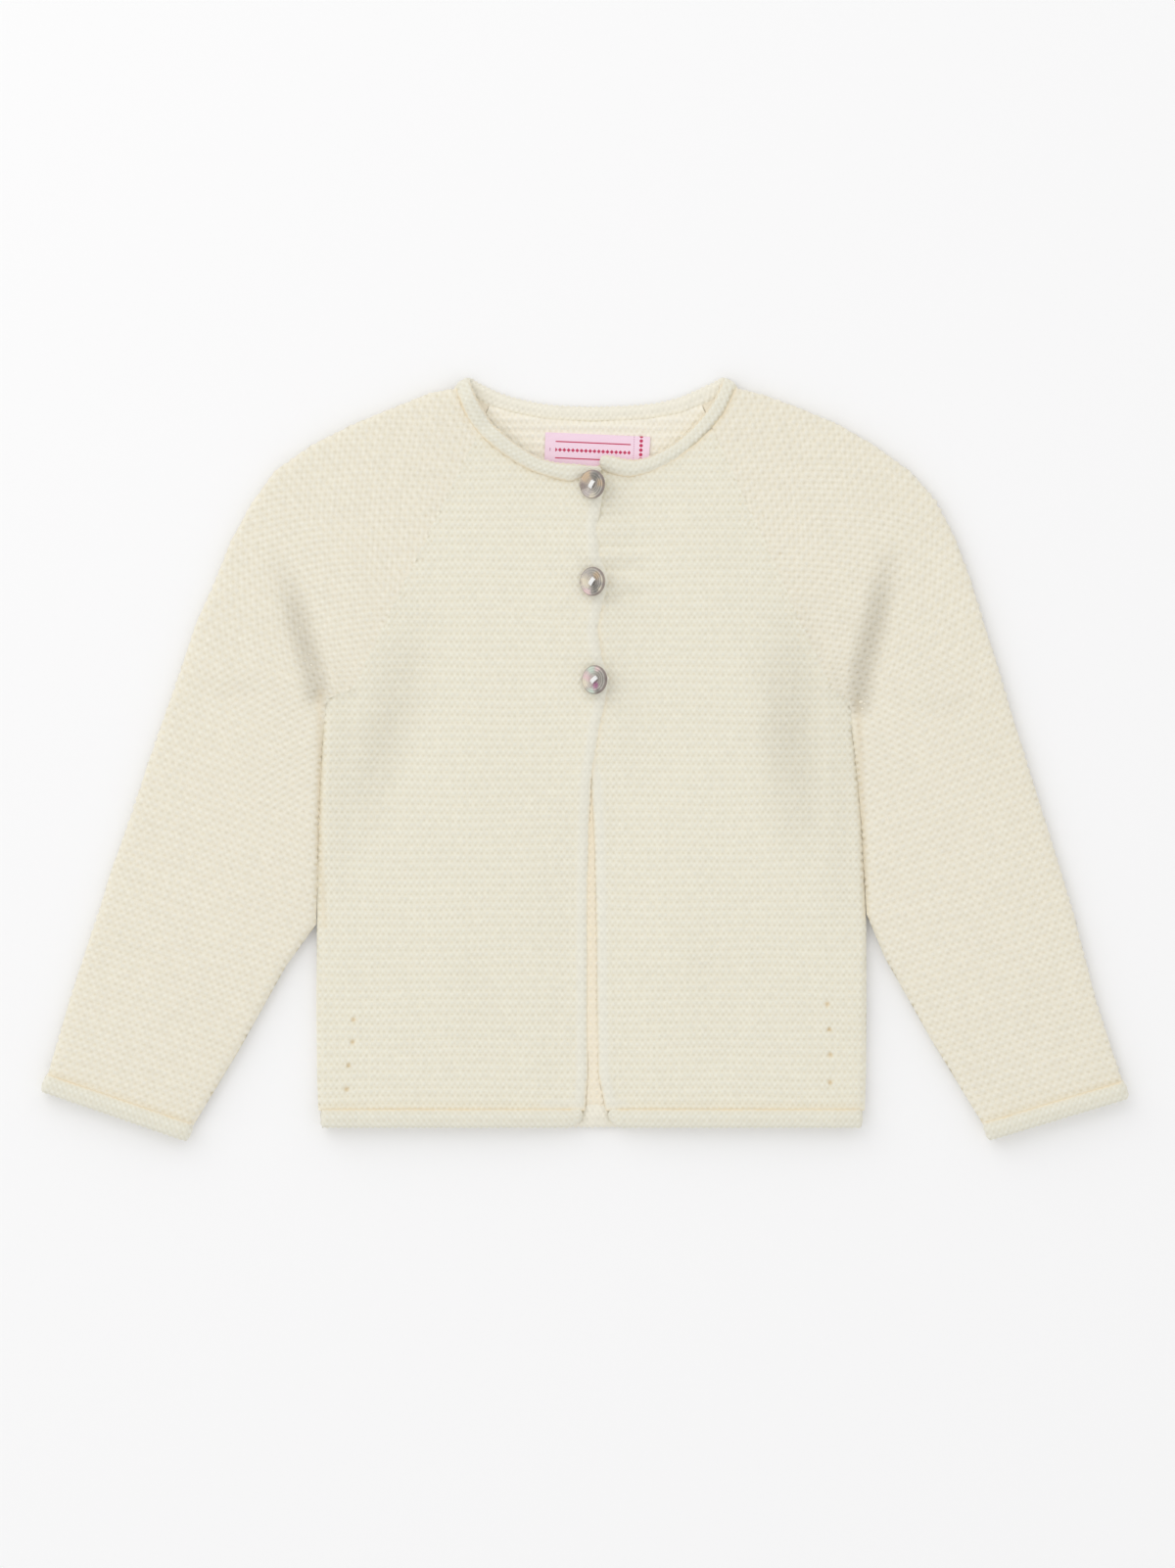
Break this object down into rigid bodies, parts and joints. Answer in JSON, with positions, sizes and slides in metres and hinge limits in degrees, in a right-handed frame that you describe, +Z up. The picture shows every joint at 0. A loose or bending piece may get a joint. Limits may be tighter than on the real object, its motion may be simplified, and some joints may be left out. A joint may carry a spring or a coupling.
{
  "type": "baby cardigan",
  "caption": "Cream garter-stitch baby cardigan with raglan sleeves, rolled edges and shell buttons, laid flat on its back.",
  "frame": {"origin": "centre of the bounding box's underside, on the surface that the cardigan lies on", "axes": "+X towards the wearer's left, +Y towards the neck, +Z up out of the upper layer"},
  "size_m": [0.4783, 0.3358, 0.0164],
  "materials": {
    "cream_knit": "soft cream wool in garter stitch, matt with a fine nap",
    "cream_roll": "the same cream wool in plain knitting, rolled so that its purl side shows",
    "pink_label": "fine woven satin in pink",
    "shell": "grey mother of pearl with fine turned rings and a pink and green lustre",
    "white_thread": "white sewing cotton"
  },
  "bodies": {
    "root": {"back_panel": "cream_knit", "front_right": "cream_knit", "front_left": "cream_knit", "sleeve_right": "cream_knit", "sleeve_left": "cream_knit", "neck_roll": "cream_roll", "hem_roll_right": "cream_roll", "hem_roll_left": "cream_roll", "hem_roll_back": "cream_roll", "cuff_roll_right": "cream_roll", "cuff_roll_left": "cream_roll", "neck_label": "pink_label", "button_top": "shell", "button_middle": "shell", "button_bottom": "shell", "thread_top": "white_thread", "thread_middle": "white_thread", "thread_bottom": "white_thread"}
  },
  "joints": []
}
